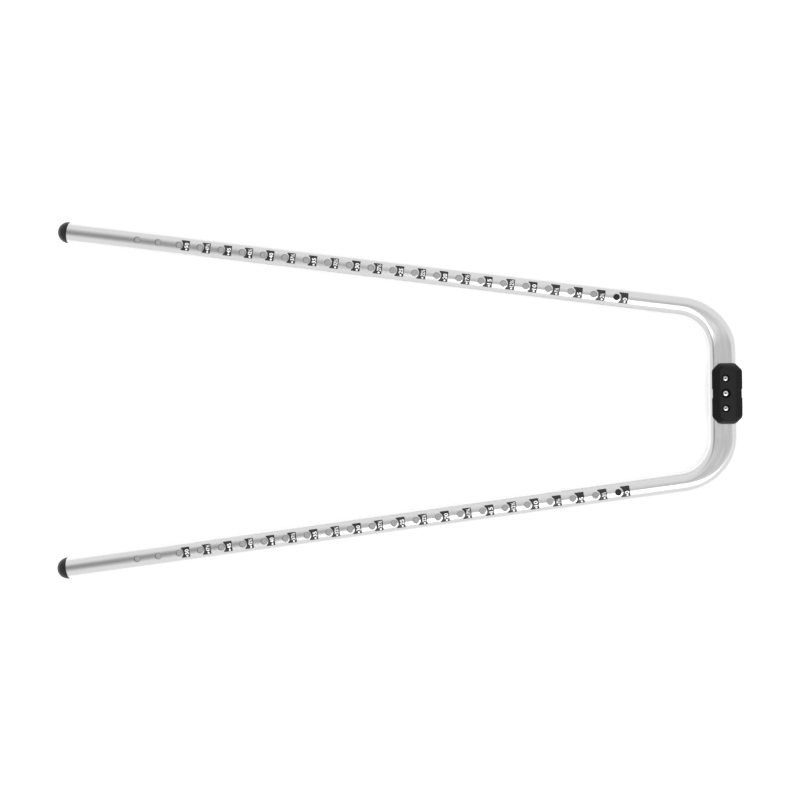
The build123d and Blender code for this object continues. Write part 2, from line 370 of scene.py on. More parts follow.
def tube_place(point):
    """Where a point is on the tube: its section's middle, the direction outwards from the bend, the run
    from the centre line, the section's half width, and whether it is on a straight arm."""
    side = 1 if point.y >= 0 else -1
    centre = Vector((AXIS.x - BEND_R, BEND_Y, AXIS.z))
    from_centre = Vector((point.x, abs(point.y), AXIS.z)) - centre
    full = pi / 2 - FLARE
    turn = atan2(from_centre.y, from_centre.x)
    if from_centre.y <= 0 < from_centre.x:
        return Vector((AXIS.x, point.y, AXIS.z)), Vector((1, 0, 0)), abs(point.y), PRESSED_HALF_WIDTH, False
    if 0 < turn < full:
        share = 1 - turn / full
        half_width = TUBE_R + (PRESSED_HALF_WIDTH - TUBE_R) * share * share * (3 - 2 * share)
        outward = Vector((cos(turn), sin(turn), 0))
        middle = centre + outward * BEND_R
        run, straight = BEND_Y + BEND_R * turn, False
    else:
        outward = Vector((sin(FLARE), cos(FLARE), 0))
        along = Vector((-cos(FLARE), sin(FLARE), 0))
        distance = from_centre.dot(along)
        middle = centre + outward * BEND_R + along * distance
        run, half_width, straight = BEND_Y + BEND_R * full + distance, TUBE_R, True
    flip = Vector((1, side, 1))
    return middle * flip, outward * flip, run, half_width, straight


def press(point):
    """Moves a point of the round tube to the pressed outline."""
    middle, outward, _, half_width, _ = tube_place(point)
    offset = point - middle
    x, z = oval_point(half_width, atan2(offset.z, offset.dot(outward)))
    return middle + outward * x + Vector((0, 0, z))


def hole_places(side):
    """Where each setting hole's axis crosses an arm's axis, from the tip."""
    along = Vector((-cos(FLARE), side * sin(FLARE), 0))
    corner = AXIS + Vector((0, side * CORNER_Y, 0))
    return [corner + along * (ARM_LENGTH - FIRST_HOLE - i * HOLE_PITCH) for i in range(HOLE_COUNT)]


def hole_matrix(place, side):
    """Puts something made on an arm along X, with its tip at low x, onto an arm."""
    return Matrix.Translation(place) @ Matrix.Rotation(-side * FLARE, 4, "Z")


def hole_cutter(chamfer):
    """A tool that cuts one setting hole through the upper wall, with a chamfer along the tube's round."""
    rings = ((chamfer, 16 * MM), (chamfer, None), (0, None), (0, 0))  # growth, and height if it is flat
    tool = begin("hole", bpy.ops.mesh.primitive_circle_add, vertices=48, radius=HOLE_R, fill_type="NGON")
    for number, (grow, flat_height) in enumerate(rings):
        if number:
            extrude((0, 0, -MM))

        def ring_point(co, grow=grow, flat_height=flat_height):
            place = Vector((co.x, co.y)).normalized() * (HOLE_R + 2 * grow)
            height = flat_height
            if height is None:
                height = sqrt(TUBE_R**2 - place.y**2) + (chamfer if grow else -chamfer)
            return Vector((place.x, place.y, height))

        reshape(tool, ring_point, only_selected=True)
    return done(tool)


def crossbar_tool(name, grow, half_length):
    """The pressed crossbar, grown all round, as a bar for cutting."""
    ring = {"vertices": RING_STEPS, "radius": TUBE_R, "fill_type": "NGON"}
    place = {"rotation": (pi / 2, 0, 0), "location": AXIS + Vector((0, half_length, 0))}
    tool = begin(name, bpy.ops.mesh.primitive_circle_add, **ring, **place)

    def to_oval(co):
        x, z = oval_point(PRESSED_HALF_WIDTH, atan2(co.z - AXIS.z, co.x - AXIS.x), grow)
        return Vector((AXIS.x + x, co.y, AXIS.z + z))

    reshape(tool, to_oval)
    extrude((0, -2 * half_length, 0))
    return done(tool)


# ---------------------------------------------------------------- materials


def feed(tree, target, inputs):
    """Gives a node's sockets their values, or the links into them. A node stands for its first output."""
    for name, value in inputs.items():
        if isinstance(value, bpy.types.Node):
            value = value.outputs[0]
        if isinstance(value, bpy.types.NodeSocket):
            tree.links.new(value, target.inputs[name])
        else:
            target.inputs[name].default_value = value


def node(tree, kind, inputs=None, **settings):
    """Adds a node, with its settings, its values and the links into it."""
    made = tree.nodes.new(kind)
    for name, value in settings.items():
        setattr(made, name, value)
    feed(tree, made, inputs or {})
    return made


def material(name):
    """A new material, with its tree and shader."""
    made = bpy.data.materials.new(name)
    made.use_nodes = True
    return made, made.node_tree, made.node_tree.nodes["Principled BSDF"]


def shade(rgba, factor):
    """A colour made darker or lighter, and opaque."""
    return [c * factor for c in rgba[:3]] + [1.0]


def dress(tree, shader, pattern, rough, tones, depth):
    """Lets one pattern vary a shader's roughness and colour between two values, and raise its surface."""
    spread = node(tree, "ShaderNodeMapRange", {"Value": pattern, "To Min": rough[0], "To Max": rough[1]})
    mixed = node(tree, "ShaderNodeMix", {0: pattern, 6: tones[0], 7: tones[1]}, data_type="RGBA")
    relief = node(tree, "ShaderNodeBump", {"Height": pattern, "Distance": depth, "Strength": 1.0})
    feed(tree, shader, {"Roughness": spread, "Base Color": mixed.outputs[2], "Normal": relief})


def streaks(length_mm, width_mm):
    """The scale that draws a noise out along the tube into streaks of this size."""
    return 1 / (length_mm * MM), 1 / (width_mm * MM), 1 / (width_mm * MM)


def anodised_tube(colours):
    """Drawn aluminium tube, etched and clear anodised: a soft satin mirror, with faint streaks that
    drawing leaves along it and a few duller rubs where it slides in the boom's body."""
    made, tree, shader = material("clear_anodised_aluminium")
    place = node(tree, "ShaderNodeAttribute", attribute_name="tube_run").outputs["Vector"]
    # Draw lines are some 0.1 mm wide; they are drawn 0.8 mm wide and 125 mm long so that they show.
    drawn = node(tree, "ShaderNodeMapping", {"Vector": place, "Scale": streaks(125, 0.8)})
    lines = node(tree, "ShaderNodeTexNoise", {"Vector": drawn, "Scale": 1.0, "Detail": 3.0})
    cloud = node(tree, "ShaderNodeTexNoise", {"Vector": place, "Scale": 1 / (30 * MM), "Detail": 4.0})
    rubbed = node(tree, "ShaderNodeMapping", {"Vector": place, "Scale": streaks(71.4, 2.38)})
    rubs = node(tree, "ShaderNodeTexNoise", {"Vector": rubbed, "Scale": 1.0, "Detail": 5.0})
    dull = node(tree, "ShaderNodeMapRange", {"Value": rubs, "From Min": 0.6, "From Max": 0.75})
    satin = node(tree, "ShaderNodeMapRange", {"Value": lines, "To Min": 0.17, "To Max": 0.27})
    rough = node(tree, "ShaderNodeMath", {0: dull, 1: 0.05, 2: satin}, operation="MULTIPLY_ADD")
    tones = {0: cloud, 6: shade(colours.aluminium, 0.96), 7: colours.aluminium}
    tone = node(tree, "ShaderNodeMix", tones, data_type="RGBA").outputs[2]
    # The bender and the press leave long shallow waves, 45 mm by 8 mm, that die out along the arms.
    along = node(tree, "ShaderNodeSeparateXYZ", {0: place})
    reach = node(tree, "ShaderNodeMath", {0: along}, operation="ABSOLUTE")
    arm_start = BEND_Y + BEND_R * (pi / 2 - FLARE)
    fade = {"Value": reach, "From Min": arm_start, "From Max": arm_start - 40 * MM}
    bent = node(tree, "ShaderNodeMapRange", fade)
    pressed = node(tree, "ShaderNodeMapping", {"Vector": place, "Scale": streaks(45, 8)})
    waves = node(tree, "ShaderNodeTexNoise", {"Vector": pressed, "Scale": 1.0, "Detail": 1.0})
    dents = node(tree, "ShaderNodeMath", {0: waves, 1: bent}, operation="MULTIPLY")
    # The draw lines are a fiftieth as deep as those waves.
    height = node(tree, "ShaderNodeMath", {0: lines, 1: 1 / 50, 2: dents}, operation="MULTIPLY_ADD")
    relief = node(tree, "ShaderNodeBump", {"Height": height, "Distance": 0.5 * MM, "Strength": 1.0})
    feed(tree, shader, {"Metallic": 1.0, "Roughness": rough, "Base Color": tone, "Normal": relief})
    return made


def tube_bore(colours):
    """The tube's inside, as drawn and never polished: a pale, nearly even grey, with a painted glow. The
    surface gives off light that stands in for the light which comes in at the holes and bounces from wall
    to wall."""
    made, tree, shader = material("aluminium_bore_painted_glow")
    place = node(tree, "ShaderNodeAttribute", attribute_name="tube_run").outputs["Vector"]
    # The draw lines are 1.1 mm wide here, some ten times the real ones, so that they show.
    drawn = node(tree, "ShaderNodeMapping", {"Vector": place, "Scale": streaks(83.3, 1.11)})
    lines = node(tree, "ShaderNodeTexNoise", {"Vector": drawn, "Scale": 1.0, "Detail": 3.0})
    # Painted glow: this emission stands in for light bounced inside the tube.
    feed(tree, shader, {"Metallic": 0.5, "Emission Color": linear("FFFFFF"), "Emission Strength": 0.2})
    tones = shade(colours.aluminium, 0.65), shade(colours.aluminium, 0.85)
    dress(tree, shader, lines, (0.45, 0.65), tones, 0.02 * MM)
    return made


def drilled_edge(colours):
    """The drilled and deburred edge of a setting hole: bare and rough, and painted dark as the shade that
    falls in the hole, so that each hole has a dark rim."""
    made, tree, shader = material("drilled_edge_painted_shade")
    place = node(tree, "ShaderNodeTexCoord").outputs["Object"]
    chatter = node(tree, "ShaderNodeTexNoise", {"Vector": place, "Scale": 1 / (0.4 * MM), "Detail": 4.0})
    feed(tree, shader, {"Metallic": 1.0})
    # Painted shade: the edge's tones are a sixth to a third of the tube's.
    tones = shade(colours.aluminium, 0.16), shade(colours.aluminium, 0.34)
    dress(tree, shader, chatter, (0.4, 0.6), tones, 0.02 * MM)
    return made


def nylon_painted_light(colours):
    """Glass-filled nylon from a spark-eroded mould: a deep matt black, painted greyer over the flat top
    and at the two ends as painted light, with the sides kept darker as painted shade."""
    made, tree, shader = material("spark_grained_nylon")
    place = node(tree, "ShaderNodeTexCoord").outputs["Object"]
    axes = node(tree, "ShaderNodeSeparateXYZ", {0: place}).outputs
    grain = node(tree, "ShaderNodeTexNoise", {"Vector": place, "Scale": 1 / (0.5 * MM), "Detail": 4.0})
    # Painted light and shade: the sides keep three tenths of the flat top's tone, and the two ends are up
    # to 2.6 times as pale.
    top = AXIS.z + SADDLE_TOP * MM
    on_top = {"Value": axes["Z"], "From Min": top - 0.9 * MM, "From Max": top - 0.1 * MM, "To Min": 0.3}
    painted_top_light = node(tree, "ShaderNodeMapRange", on_top)
    out = node(tree, "ShaderNodeMath", {0: axes["Y"]}, operation="ABSOLUTE")
    at_end = {"Value": out, "From Min": 28.5 * MM, "From Max": 32 * MM, "To Max": 2.6}
    painted_end_light = node(tree, "ShaderNodeMapRange", at_end)
    # This wear is painted light: the lit flat top and ends against the shaded sides.
    wear = node(tree, "ShaderNodeMath", {0: painted_top_light, 1: painted_end_light}, operation="MAXIMUM")
    tones = {0: grain, 6: shade(colours.nylon, 0.85), 7: shade(colours.nylon, 1.15)}
    tone = node(tree, "ShaderNodeMix", tones, data_type="RGBA").outputs[2]
    painted_tone = node(tree, "ShaderNodeVectorMath", {0: tone, "Scale": wear}, operation="SCALE")
    rough = node(tree, "ShaderNodeMapRange", {"Value": grain, "To Min": 0.38, "To Max": 0.52})
    relief = node(tree, "ShaderNodeBump", {"Height": grain, "Distance": 0.02 * MM, "Strength": 1.0})
    feed(tree, shader, {"IOR": 1.5, "Specular IOR Level": 0.12})
    feed(tree, shader, {"Roughness": rough, "Base Color": painted_tone, "Normal": relief})
    return made


def moulded(name, rgba, grain_mm, depth_mm, rough, gloss=0.5):
    """A moulded or cut black plastic: near black, with a fine even grain, slightly glossier where it has
    been handled."""
    made, tree, shader = material(name)
    place = node(tree, "ShaderNodeTexCoord").outputs["Object"]
    fine, broad = 1 / (grain_mm * MM), 1 / (9 * MM)
    grain = node(tree, "ShaderNodeTexNoise", {"Vector": place, "Scale": fine, "Detail": 4.0})
    wear = node(tree, "ShaderNodeTexNoise", {"Vector": place, "Scale": broad, "Detail": 5.0})
    spread = {"Value": wear, "To Min": rough * 0.75, "To Max": rough * 1.25}
    handled = node(tree, "ShaderNodeMapRange", spread)
    tones = {0: grain, 6: shade(rgba, 0.8), 7: shade(rgba, 1.25)}
    tone = node(tree, "ShaderNodeMix", tones, data_type="RGBA").outputs[2]
    relief = node(tree, "ShaderNodeBump", {"Height": grain, "Distance": depth_mm * MM, "Strength": 1.0})
    feed(tree, shader, {"IOR": 1.5, "Specular IOR Level": gloss})
    feed(tree, shader, {"Roughness": handled, "Base Color": tone, "Normal": relief})
    return made


def stainless(colours):
    """Cold headed stainless steel: bright, with faint marks from the tools and a little tea stain."""
    made, tree, shader = material("cold_headed_stainless_steel")
    place = node(tree, "ShaderNodeTexCoord").outputs["Object"]
    marks = node(tree, "ShaderNodeTexNoise", {"Vector": place, "Scale": 1 / (0.5 * MM), "Detail": 5.0})
    stain = node(tree, "ShaderNodeTexNoise", {"Vector": place, "Scale": 1 / (4 * MM), "Detail": 3.0})
    rough = node(tree, "ShaderNodeMapRange", {"Value": marks, "To Min": 0.2, "To Max": 0.36})
    tones = {0: stain, 6: shade(colours.steel, 0.86), 7: colours.steel}
    tone = node(tree, "ShaderNodeMix", tones, data_type="RGBA").outputs[2]
    relief = node(tree, "ShaderNodeBump", {"Height": marks, "Distance": 0.006 * MM, "Strength": 1.0})
    feed(tree, shader, {"Metallic": 1.0, "Roughness": rough, "Base Color": tone, "Normal": relief})
    return made


def recess_grime(colours):
    """The inside of a screw's recess: the same steel, painted near black as the shade that falls in the
    recess.
    """
    made, tree, shader = material("stainless_recess_painted_shade")
    place = node(tree, "ShaderNodeTexCoord").outputs["Object"]
    shade_mottle = node(tree, "ShaderNodeTexNoise", {"Vector": place, "Scale": 1 / (0.3 * MM), "Detail": 4.0})
    feed(tree, shader, {"Metallic": 0.6})
    # Painted shade: the steel's tone is cut to between 0.03 and 0.12 of itself.
    tones = shade(colours.steel, 0.03), shade(colours.steel, 0.12)
    dress(tree, shader, shade_mottle, (0.5, 0.8), tones, 0.02 * MM)
    return made


def punched_acetal(colours):
    """Punched white acetal sheet: waxy and slightly translucent, with faint knit from the sheet."""
    made, tree, shader = material("punched_white_acetal")
    place = node(tree, "ShaderNodeTexCoord").outputs["Object"]
    knit = node(tree, "ShaderNodeTexNoise", {"Vector": place, "Scale": 1 / (1.2 * MM), "Detail": 3.0})
    feed(tree, shader, {"IOR": 1.48, "Subsurface Weight": 0.15, "Subsurface Scale": 0.5 * MM})
    tones = shade(colours.washer, 0.9), colours.washer
    dress(tree, shader, knit, (0.35, 0.5), tones, 0.01 * MM)
    return made


def closed_cell_foam(colours):
    """Closed-cell polyethylene foam: matt, with cut cells about 0.8 mm across."""
    made, tree, shader = material("closed_cell_foam")
    place = node(tree, "ShaderNodeTexCoord").outputs["Object"]
    cells = node(tree, "ShaderNodeTexVoronoi", {"Vector": place, "Scale": 1 / (0.8 * MM)})
    feed(tree, shader, {"IOR": 1.5})
    tones = shade(colours.foam, 0.6), shade(colours.foam, 1.3)
    dress(tree, shader, cells, (0.7, 0.95), tones, 0.2 * MM)
    return made


def printed(name, rgba, rough):
    """Pad-printed two-part ink: an even glossy film, slightly thin and uneven where it lies on the
    anodising."""
    made, tree, shader = material(name)
    place = node(tree, "ShaderNodeTexCoord").outputs["Object"]
    film = node(tree, "ShaderNodeTexNoise", {"Vector": place, "Scale": 1 / (1.5 * MM), "Detail": 4.0})
    feed(tree, shader, {"IOR": 1.5})
    dress(tree, shader, film, (rough * 0.8, rough * 1.3), (shade(rgba, 0.85), rgba), 0.004 * MM)
    return made


def finishes():
    """Every finish, by a short name, made once."""
    if not finishes.made:
        colours = bpy.context.scene.boom_tail_colours
        finishes.made.update(
            tube=anodised_tube(colours),
            bore=tube_bore(colours),
            hole_edge=drilled_edge(colours),
            nylon=nylon_painted_light(colours),
            vinyl=moulded("dipped_vinyl", colours.vinyl, 1.4, 0.015, 0.36, gloss=0.3),
            acetal=moulded("moulded_black_acetal", colours.acetal, 0.8, 0.008, 0.3),
            rubber=moulded("cut_rubber_sheet", colours.rubber, 0.4, 0.05, 0.75),
            foam=closed_cell_foam(colours),
            steel=stainless(colours),
            grime=recess_grime(colours),
            washer=punched_acetal(colours),
            print_black=printed("pad_printed_black_ink", colours.print_black, 0.22),
            print_white=printed("pad_printed_white_ink", colours.print_white, 0.4),
        )
    return finishes.made


finishes.made = {}


# ---------------------------------------------------------------- operators


class BoomTailOperator:
    """What every operator here shares."""

    bl_options = {"REGISTER", "UNDO"}

    def execute(self, context):
        self.make(context.scene.boom_tail_sizes, finishes())
        return {"FINISHED"}


class BOOMTAIL_OT_tube(BoomTailOperator, bpy.types.Operator):
    """Model the bent tube, its pressed crossbar and its setting holes"""

    bl_idname = "boomtail.tube"
    bl_label = "Tube"

    def make(self, sizes, finish):
        inward = Vector((cos(FLARE), -sin(FLARE), 0))
        tip = AXIS + Vector((0, CORNER_Y, 0)) - inward * ARM_LENGTH
        ring = {"vertices": RING_STEPS, "radius": TUBE_R, "fill_type": "NOTHING"}
        place = {"location": tip, "rotation": inward.to_track_quat("Z", "Y").to_euler()}
        tube = begin("tube", bpy.ops.mesh.primitive_circle_add, **ring, **place)
        arm_steps, bend_steps, bar_steps = 56, 28, 12
        straight = ARM_LENGTH - TANGENT
        extrude(inward * (straight / arm_steps), arm_steps)
        angle = pi / 2 - FLARE
        for side in SIDES.values():
            centre = (AXIS.x - BEND_R, side * BEND_Y, AXIS.z)
            bpy.ops.mesh.spin(steps=bend_steps, angle=angle, center=centre, axis=(0, 0, 1))
            if side > 0:
                extrude((0, -2 * BEND_Y / bar_steps, 0), bar_steps)
        extrude(Vector((-cos(FLARE), -sin(FLARE), 0)) * (straight / arm_steps), arm_steps)
        reshape(tube, press)
        done(tube)
        apply_modifier(tube, "SOLIDIFY", thickness=TUBE_WALL, offset=-1, use_even_offset=True)
        cutter = hole_cutter(sizes.hole_chamfer)
        tools = [
            copy_to(cutter, hole_matrix(place, side), "hole")
            for side in SIDES.values()
            for place in hole_places(side)
        ]
        bpy.data.objects.remove(cutter)
        for y in SCREWS.values():
            tools.append(cylinder("bore", SCREW_BORE_R * MM, SCREW_X, y, 0, 2 * AXIS.z))
        combine(tube, join(tools, "holes"))
        finish_piece(tube, finish["tube"], nodes=["tail_tube"])
        self.mark_run(tube.data)
        self.line_bore(tube.data, finish["bore"], finish["hole_edge"])
        self.true_normals(tube.data)

    def mark_run(self, mesh):
        """Stores each point's run along the tube and its place round it, for the draw lines."""
        run = mesh.attributes.new("tube_run", "FLOAT_VECTOR", "POINT")
        for vertex in mesh.vertices:
            middle, outward, along, _, _ = tube_place(vertex.co)
            offset = vertex.co - middle
            side = 1 if vertex.co.y >= 0 else -1
            run.data[vertex.index].vector = (side * along, offset.dot(outward), offset.z)

    def line_bore(self, mesh, bore, edge):
        """Gives the inner wall its finish with a painted glow, and the edges of the setting holes their
        finish painted dark as shade.
        """
        inner_wall, outer_wall = -0.6, 0.9  # how far such a face's normal points out from the tube's axis
        mesh.materials.append(bore)
        mesh.materials.append(edge)
        for face in mesh.polygons:
            middle, _, _, _, straight = tube_place(face.center)
            facing = face.normal.dot((face.center - middle).normalized())
            if facing < inner_wall:
                face.material_index = 1
            if straight and abs(facing) < outer_wall:
                face.material_index = 2

    def true_normals(self, mesh):
        """Points the arms' normals straight out from their axes, so that no hole's edge dents the gloss."""
        wall = 0.97  # how far a wall's normal points along the direction out from the axis, at least
        normals = [Vector(corner.vector) for corner in mesh.corner_normals]
        for face in mesh.polygons:
            middle, _, _, _, straight = tube_place(face.center)
            if not straight:
                continue
            radial = (face.center - middle).normalized()
            facing = face.normal.dot(radial)
            if abs(facing) < wall:
                continue
            for corner in face.loop_indices:
                point = mesh.vertices[mesh.loops[corner].vertex_index].co
                out = (point - tube_place(point)[0]).normalized()
                normals[corner] = out if facing > 0 else -out
        mesh.normals_split_custom_set(normals)


class BOOMTAIL_OT_scale(BoomTailOperator, bpy.types.Operator):
    """Print the numbered scale beside the setting holes"""

    bl_idname = "boomtail.scale"
    bl_label = "Scale"

    def make(self, sizes, finish):
        patch = self.patch(sizes)
        values = [FIRST_NUMBER - NUMBER_STEP * i for i in range(HOLE_COUNT - UNNUMBERED)]
        numbers = [self.number(value, sizes) for value in values]
        for name, side in SIDES.items():
            places = hole_places(side)[UNNUMBERED:]
            matrices = [hole_matrix(place, side) for place in places]
            patches = join([copy_to(patch, m, "patch") for m in matrices], f"scale_patches_{name}")
            inks = [copy_to(n, m, "number") for n, m in zip(numbers, matrices)]
            inks = join(inks, f"scale_numbers_{name}")
            finish_piece(patches, finish["print_black"])
            finish_piece(inks, finish["print_white"])
        for piece in [patch, *numbers]:
            bpy.data.objects.remove(piece)

    def wrap(self, piece, low, high):
        """Cuts a flat piece, a millimetre thick, into strips and lays it round an arm, its faces at low
        and high above the tube."""
        strips, reach = 28, 7 * MM
        for i in range(1, strips):
            bpy.ops.mesh.select_all(action="SELECT")
            across = -reach + 2 * reach * i / strips
            bpy.ops.mesh.bisect(plane_co=(0, across, 0), plane_no=(0, 1, 0))

        def bend(co):
            radius = TUBE_R + (high if co.z > 0.5 * MM else low)
            return Vector((co.x, radius * sin(co.y / TUBE_R), radius * cos(co.y / TUBE_R)))

        reshape(piece, bend)
        return done(piece)

    def patch(self, sizes):
        """One black patch, hollowed round its hole."""
        low = (sizes.patch_tip, -sizes.patch_half, 0)
        high = (sizes.patch_length, sizes.patch_half, MM)
        patch = block("patch", low, high)
        make_active(patch)
        bpy.ops.object.mode_set(mode="EDIT")

        def far_corner(edge):
            first, second = (v.co for v in edge.verts)
            return min(first.x, second.x) > sizes.patch_length - 0.1 * MM and first.z != second.z

        choose(patch, "EDGE", far_corner)
        bpy.ops.mesh.bevel(offset=MM, segments=4, affect="EDGES")
        done(patch)
        combine(patch, cylinder("ring", sizes.patch_ring, 0, 0, -MM, 2 * MM))
        make_active(patch)
        bpy.ops.object.mode_set(mode="EDIT")
        return self.wrap(patch, low=-0.02 * MM, high=0.04 * MM)

    def number(self, value, sizes):
        """One number, read across the arm, with a small diamond before it."""
        whole = int(value)
        body = f"{whole}" + ("½" if value > whole else "")
        bpy.ops.object.select_all(action="DESELECT")
        bpy.ops.object.text_add(location=(0, 0, 0))
        text = bpy.context.object
        text.data.body = body
        text.data.resolution_u = 4
        text.data.offset = 0.015  # a little bolder than the typeface
        text.data.extrude = 0.5
        bpy.ops.object.convert(target="MESH")
        number = bpy.context.object
        reading, tall = [[v.co[axis] for v in number.data.vertices] for axis in (0, 1)]
        narrower = 0.4 * body.count("½")  # a half takes less room than a whole figure
        width = sizes.figure_width * (len(body) - narrower)
        wider, taller = width / (max(reading) - min(reading)), sizes.number_height / (max(tall) - min(tall))
        foot = sizes.patch_length - MM
        first = -2.7 * MM  # where the first figure starts, round the tube
        quarter_turn = Matrix.Rotation(pi / 2, 4, "Z")
        corner = Matrix.Translation((-min(reading), -min(tall), 0.5))
        place = Matrix.Translation((foot, first, 0)) @ quarter_turn
        number.data.transform(place @ Matrix.Diagonal((wider, taller, MM, 1)) @ corner)
        middle = (foot - sizes.number_height / 2, first - 1.7 * MM, MM / 2)
        mark = {"radius": 1.3 * MM, "depth": MM, "location": middle}
        diamond = done(begin("diamond", bpy.ops.mesh.primitive_cylinder_add, vertices=4, **mark))
        number = join([number, diamond], "number")
        bpy.ops.object.mode_set(mode="EDIT")
        return self.wrap(number, low=0.03 * MM, high=0.08 * MM)


class BOOMTAIL_OT_end_plugs(BoomTailOperator, bpy.types.Operator):
    """Model the domed, ribbed end plugs"""

    bl_idname = "boomtail.end_plugs"
    bl_label = "End plugs"

    def make(self, sizes, finish):
        # Heights run from the dome's middle, and the collar's underside meets the tube's cut end.
        dome, collar, spigot, core, rib, depth = 12.5, 2.0, 10.3, 8.3, 11.04, 26.0
        profile = arc((0, 0), dome, 90, 0, 24)
        profile += arc((dome - 0.5, -collar + 0.5), 0.5, 0, -90, 4)
        profile += [(spigot, -collar)]
        for rib_at in (8, 14, 20):
            profile += [(spigot, 1.2 - rib_at), (rib - 0.15, 1.2 - rib_at), (rib, 0.9 - rib_at)]
            profile += [(spigot, -1.2 - rib_at)]
        profile += [(spigot, -depth + 0.6), (spigot - 0.6, -depth), (core, -depth)]
        profile += [(core, -collar - 1.0), (core - 1.0, -collar), (0, -collar)]
        plug = lathe("plug", profile)
        for name, side in SIDES.items():
            along = Vector((-cos(FLARE), side * sin(FLARE), 0))
            place = AXIS + Vector((0, side * CORNER_Y, 0)) + along * (ARM_LENGTH + collar * MM)
            matrix = Matrix.Translation(place) @ along.to_track_quat("Z", "Y").to_matrix().to_4x4()
            made = copy_to(plug, matrix, f"end_cap_{name}")
            finish_piece(made, finish["vinyl"], nodes=[f"end_plug_{name}"])
        bpy.data.objects.remove(plug)


def cut_side_notches(piece, inner_x, outer_x):
    """The finger notches half way along a moulding's long sides."""
    half, depth = 5 * MM, 0.8 * MM
    for x in (inner_x, outer_x):
        low, high = (x - depth, -half, -MM), (x + depth, half, 3 * AXIS.z)
        combine(piece, block("notch", low, high, edge=0.6 * MM))


class BOOMTAIL_OT_saddle(BoomTailOperator, bpy.types.Operator):
    """Model the saddle over the crossbar"""

    bl_idname = "boomtail.saddle"
    bl_label = "Top saddle"

    def make(self, sizes, finish):
        inner, outer = -12.5, 19.5
        # Low x, high x, half length, corner cut, height, and whether the edge is rounded.
        levels = [
            (inner + 5.5, outer, HALF_LENGTH, 7.2, 3.0, False),
            (inner + 4.0, outer, HALF_LENGTH, CORNER_CUT, 5.0, False),
            (inner, outer, HALF_LENGTH, CORNER_CUT, 9.6, True),
            (inner, outer, HALF_LENGTH, CORNER_CUT, 11.0, True),
            (inner, outer, 31.93, 7.1, 12.6, True),
            (inner + 2.8, outer - 2.8, 30.87, 5.6, 14.2, False),
            (inner + 8.4, outer - 8.4, 28.0, 2.6, SADDLE_TOP, True),
        ]
        saddle = stack("saddle", levels, sizes.moulding_edge)
        combine(saddle, crossbar_tool("seat", PAD_THICKNESS * MM, 40 * MM))
        cut_side_notches(saddle, AXIS.x + inner * MM, AXIS.x + outer * MM)
        flare, tools = 0.3, []
        for name, y in SCREWS.items():
            radius = 5.0 if name == "centre" else 4.0
            profile = [(0, 0), (SCREW_BORE_R, 0), (SCREW_BORE_R, SCREW_SEAT)]
            profile += [(radius - flare, SCREW_SEAT), (radius, SCREW_SEAT + flare)]
            profile += [(radius, SADDLE_TOP - flare), (radius + 2 * flare, SADDLE_TOP + flare)]
            profile += [(radius + 2 * flare, SADDLE_TOP + 5), (0, SADDLE_TOP + 5)]
            tool = lathe("counterbore", profile)
            tool.data.transform(Matrix.Translation((SCREW_X, y, AXIS.z)))
            tools.append(tool)
        combine(saddle, join(tools, "counterbores"))
        finish_piece(saddle, finish["nylon"], nodes=["top_saddle"])


class BOOMTAIL_OT_housing(BoomTailOperator, bpy.types.Operator):
    """Model the lower housing, its sheave pockets and its nut pockets"""

    bl_idname = "boomtail.housing"
    bl_label = "Sheave housing"

    def make(self, sizes, finish):
        inner, outer, low = -9.8, 19.5, -22.4
        # Low x, high x, half length, corner cut, height, and whether the edge is rounded.
        levels = [
            (inner, outer, HALF_LENGTH, CORNER_CUT, -3.0, True),
            (inner, outer, HALF_LENGTH, CORNER_CUT, low + 3.5, True),
            (inner + 3.0, outer - 3.5, 29.5, 5.2, low, True),
        ]
        housing = stack("housing", levels, sizes.moulding_edge)
        combine(housing, crossbar_tool("seat", PAD_THICKNESS * MM, 40 * MM))
        cut_side_notches(housing, AXIS.x + inner * MM, AXIS.x + outer * MM)
        for y in SCREWS.values():
            combine(housing, cylinder("bore", SCREW_BORE_R * MM, SCREW_X, y, -MM, 3 * AXIS.z))
        for side in SIDES.values():
            self.cut_pocket(housing, side * SCREW_PITCH, inner)
        for y in SCREWS.values():
            combine(housing, hexagon("nut_pocket", 3.6 * MM, 7.2 * MM, (SCREW_X, y, 0)))
        finish_piece(housing, finish["nylon"], nodes=["sheave_housing"])

    def cut_pocket(self, housing, y, inner):
        """One sheave's pocket, open towards the tips, with a flared mouth for the line."""
        radius, low, high, flare = 11.6 * MM, AXIS.z - 17.0 * MM, AXIS.z - 10.4 * MM, 1.1 * MM
        combine(housing, cylinder("pocket", radius, SCREW_X, y, low, high))
        face = AXIS.x + inner * MM
        combine(housing, block("mouth", (face - 5 * MM, y - radius, low), (SCREW_X, y + radius, high)))
        flared = block("flare", (face - flare, y - radius, low), (face + flare, y + radius, high))
        make_active(flared)
        bpy.ops.object.mode_set(mode="EDIT")
        choose(flared, "FACE", lambda f: f.normal.x < -0.9)
        middle = Vector((face, y, (low + high) / 2))

        def widen(co):
            away = co - middle
            return co + Vector((0, copysign(2 * flare, away.y), copysign(flare, away.z)))

        reshape(flared, widen, only_selected=True)
        combine(housing, done(flared))


